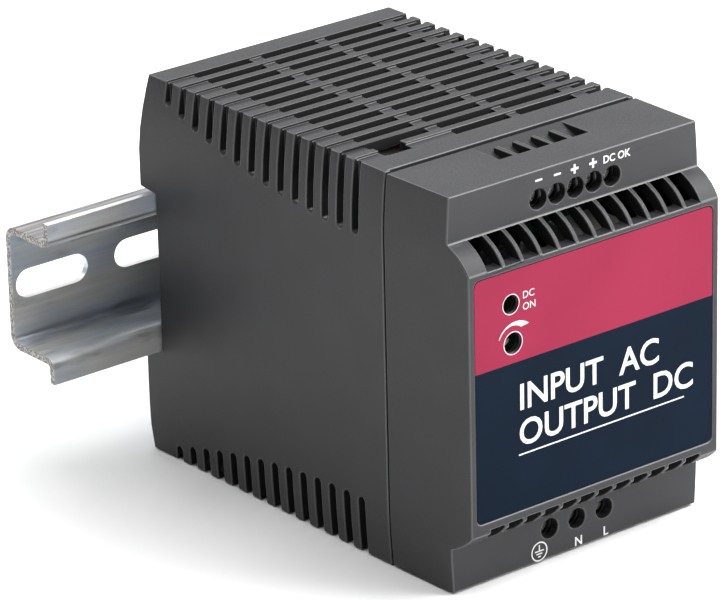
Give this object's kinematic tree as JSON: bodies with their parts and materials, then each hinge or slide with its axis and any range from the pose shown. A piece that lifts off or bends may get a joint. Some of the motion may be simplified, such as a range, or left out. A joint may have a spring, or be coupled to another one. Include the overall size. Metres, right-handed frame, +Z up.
{
  "type": "din rail power supply",
  "caption": "Vented plastic DIN rail power supply with screw terminals, status light and voltage trimmer, clipped on a slotted top-hat rail.",
  "frame": {"origin": "on the base plane, under the middle of the box that holds the casing and its rail", "axes": "+Z up, -Y towards the front label and terminals, +Y towards the rail, +X along the rail to the right seen from the front"},
  "size_m": [0.12, 0.1134, 0.0829],
  "materials": {
    "grey_moulding": "fine matte grain, moulded",
    "label_film": "screen printed film, red over dark blue, semi matt",
    "latch_moulding": "moulded",
    "zinc_plated_steel": "zinc plated, rolled grain along the rail",
    "spring_steel": "bright wire",
    "terminal_moulding": "moulded",
    "nickel_plated_screw": "nickel plated",
    "zinc_plated_clamp": "zinc plated",
    "tinned_copper": "tinned",
    "glass_epoxy_laminate": "green solder mask",
    "green_lens": "moulded clear green",
    "blue_moulding": "moulded or dipped",
    "white_nylon": "moulded",
    "black_moulding": "moulded",
    "ferrite": "sintered",
    "polyester_tape": "wound tape",
    "enamelled_copper": "enamelled winding wire",
    "capacitor_sleeve": "shrunk sleeve",
    "yellow_film_box": "moulded box",
    "fuse_glass": "ceramic tube with metal caps",
    "green_epoxy": "dipped",
    "aluminium_plate": "rolled plate"
  },
  "bodies": {
    "casing": {"rear_housing": "grey_moulding", "front_cover": "grey_moulding", "front_label": "label_film", "latch_spring": "spring_steel", "output_terminal_block": "terminal_moulding", "input_terminal_block": "terminal_moulding", "terminal_board": "glass_epoxy_laminate", "main_board": "glass_epoxy_laminate", "riser_board": "glass_epoxy_laminate", "status_led": "green_lens", "trimmer_body": "blue_moulding", "dc_ok_relay": "white_nylon", "transformer_core": "ferrite", "transformer_bobbin": "black_moulding", "transformer_winding": "polyester_tape", "input_choke_core": "ferrite", "input_choke_winding": "enamelled_copper", "output_inductor_core": "ferrite", "output_inductor_winding": "enamelled_copper", "bulk_capacitor_1": "capacitor_sleeve", "bulk_capacitor_2": "capacitor_sleeve", "output_capacitor_1": "capacitor_sleeve", "output_capacitor_2": "capacitor_sleeve", "output_capacitor_3": "capacitor_sleeve", "x_capacitor": "yellow_film_box", "input_fuse": "fuse_glass", "varistor": "blue_moulding", "inrush_thermistor": "green_epoxy", "bridge_rectifier": "black_moulding", "switching_transistor": "black_moulding", "output_rectifier": "black_moulding", "primary_heat_sink": "aluminium_plate", "output_heat_sink": "aluminium_plate", "minus_1_contact": "tinned_copper", "minus_2_contact": "tinned_copper", "plus_1_contact": "tinned_copper", "plus_2_contact": "tinned_copper", "dc_ok_contact": "tinned_copper", "earth_contact": "tinned_copper", "neutral_contact": "tinned_copper", "line_contact": "tinned_copper"},
    "minus_1_screw": {"minus_1_screw": "nickel_plated_screw"},
    "minus_1_clamp": {"minus_1_clamp": "zinc_plated_clamp"},
    "minus_2_screw": {"minus_2_screw": "nickel_plated_screw"},
    "minus_2_clamp": {"minus_2_clamp": "zinc_plated_clamp"},
    "plus_1_screw": {"plus_1_screw": "nickel_plated_screw"},
    "plus_1_clamp": {"plus_1_clamp": "zinc_plated_clamp"},
    "plus_2_screw": {"plus_2_screw": "nickel_plated_screw"},
    "plus_2_clamp": {"plus_2_clamp": "zinc_plated_clamp"},
    "dc_ok_screw": {"dc_ok_screw": "nickel_plated_screw"},
    "dc_ok_clamp": {"dc_ok_clamp": "zinc_plated_clamp"},
    "earth_screw": {"earth_screw": "nickel_plated_screw"},
    "earth_clamp": {"earth_clamp": "zinc_plated_clamp"},
    "neutral_screw": {"neutral_screw": "nickel_plated_screw"},
    "neutral_clamp": {"neutral_clamp": "zinc_plated_clamp"},
    "line_screw": {"line_screw": "nickel_plated_screw"},
    "line_clamp": {"line_clamp": "zinc_plated_clamp"},
    "din_latch": {"din_latch": "latch_moulding"},
    "din_rail": {"din_rail": "zinc_plated_steel"},
    "trimmer_spindle": {"trimmer_spindle": "white_nylon"}
  },
  "joints": [
    {"name": "minus_1_clamp_slide", "type": "slide", "parent": "casing", "child": "minus_1_clamp", "axis": [0, -1, 0], "range_m": [0, 0.00225]},
    {"name": "minus_1_screw_turn", "type": "hinge", "parent": "casing", "child": "minus_1_screw", "pos_m": [-0.00924, -0.0478, 0.0767], "axis": [0, 1, 0], "range_deg": [0, 1810]},
    {"name": "minus_2_clamp_slide", "type": "slide", "parent": "casing", "child": "minus_2_clamp", "axis": [0, -1, 0], "range_m": [0, 0.00225]},
    {"name": "minus_2_screw_turn", "type": "hinge", "parent": "casing", "child": "minus_2_screw", "pos_m": [-0.00449, -0.0478, 0.0767], "axis": [0, 1, 0], "range_deg": [0, 1810]},
    {"name": "plus_1_clamp_slide", "type": "slide", "parent": "casing", "child": "plus_1_clamp", "axis": [0, -1, 0], "range_m": [0, 0.00225]},
    {"name": "plus_1_screw_turn", "type": "hinge", "parent": "casing", "child": "plus_1_screw", "pos_m": [0.00025, -0.0478, 0.0767], "axis": [0, 1, 0], "range_deg": [0, 1810]},
    {"name": "plus_2_clamp_slide", "type": "slide", "parent": "casing", "child": "plus_2_clamp", "axis": [0, -1, 0], "range_m": [0, 0.00225]},
    {"name": "plus_2_screw_turn", "type": "hinge", "parent": "casing", "child": "plus_2_screw", "pos_m": [0.005, -0.0478, 0.0767], "axis": [0, 1, 0], "range_deg": [0, 1810]},
    {"name": "dc_ok_clamp_slide", "type": "slide", "parent": "casing", "child": "dc_ok_clamp", "axis": [0, -1, 0], "range_m": [0, 0.00225]},
    {"name": "dc_ok_screw_turn", "type": "hinge", "parent": "casing", "child": "dc_ok_screw", "pos_m": [0.00974, -0.0478, 0.0767], "axis": [0, 1, 0], "range_deg": [0, 1810]},
    {"name": "earth_clamp_slide", "type": "slide", "parent": "casing", "child": "earth_clamp", "axis": [0, -1, 0], "range_m": [0, 0.00225]},
    {"name": "earth_screw_turn", "type": "hinge", "parent": "casing", "child": "earth_screw", "pos_m": [-0.00703, -0.0478, 0.0066], "axis": [0, 1, 0], "range_deg": [0, 1810]},
    {"name": "neutral_clamp_slide", "type": "slide", "parent": "casing", "child": "neutral_clamp", "axis": [0, -1, 0], "range_m": [0, 0.00225]},
    {"name": "neutral_screw_turn", "type": "hinge", "parent": "casing", "child": "neutral_screw", "pos_m": [0.00015, -0.0478, 0.0066], "axis": [0, 1, 0], "range_deg": [0, 1810]},
    {"name": "line_clamp_slide", "type": "slide", "parent": "casing", "child": "line_clamp", "axis": [0, -1, 0], "range_m": [0, 0.00225]},
    {"name": "line_screw_turn", "type": "hinge", "parent": "casing", "child": "line_screw", "pos_m": [0.00733, -0.0478, 0.0066], "axis": [0, 1, 0], "range_deg": [0, 1810]},
    {"name": "latch_slide", "type": "slide", "parent": "casing", "child": "din_latch", "axis": [0, 0, -1], "range_m": [0, 0.004], "stiffness_N_per_m": 500, "springref_m": -0.004, "deforming": ["latch_spring"]},
    {"name": "rail_slide", "type": "slide", "parent": "casing", "child": "din_rail", "axis": [1, 0, 0], "range_m": [-0.096, 0.096]},
    {"name": "trimmer_turn", "type": "hinge", "parent": "casing", "child": "trimmer_spindle", "pos_m": [-0.02115, -0.05385, 0.052], "axis": [0, 1, 0], "range_deg": [-135, 135]}
  ],
  "couplings": [
    {"joint": "minus_1_screw_turn", "follows": "minus_1_clamp_slide", "rad_per_m": 13962},
    {"joint": "minus_2_screw_turn", "follows": "minus_2_clamp_slide", "rad_per_m": 13962},
    {"joint": "plus_1_screw_turn", "follows": "plus_1_clamp_slide", "rad_per_m": 13962},
    {"joint": "plus_2_screw_turn", "follows": "plus_2_clamp_slide", "rad_per_m": 13962},
    {"joint": "dc_ok_screw_turn", "follows": "dc_ok_clamp_slide", "rad_per_m": 13962},
    {"joint": "earth_screw_turn", "follows": "earth_clamp_slide", "rad_per_m": 13962},
    {"joint": "neutral_screw_turn", "follows": "neutral_clamp_slide", "rad_per_m": 13962},
    {"joint": "line_screw_turn", "follows": "line_clamp_slide", "rad_per_m": 13962}
  ]
}
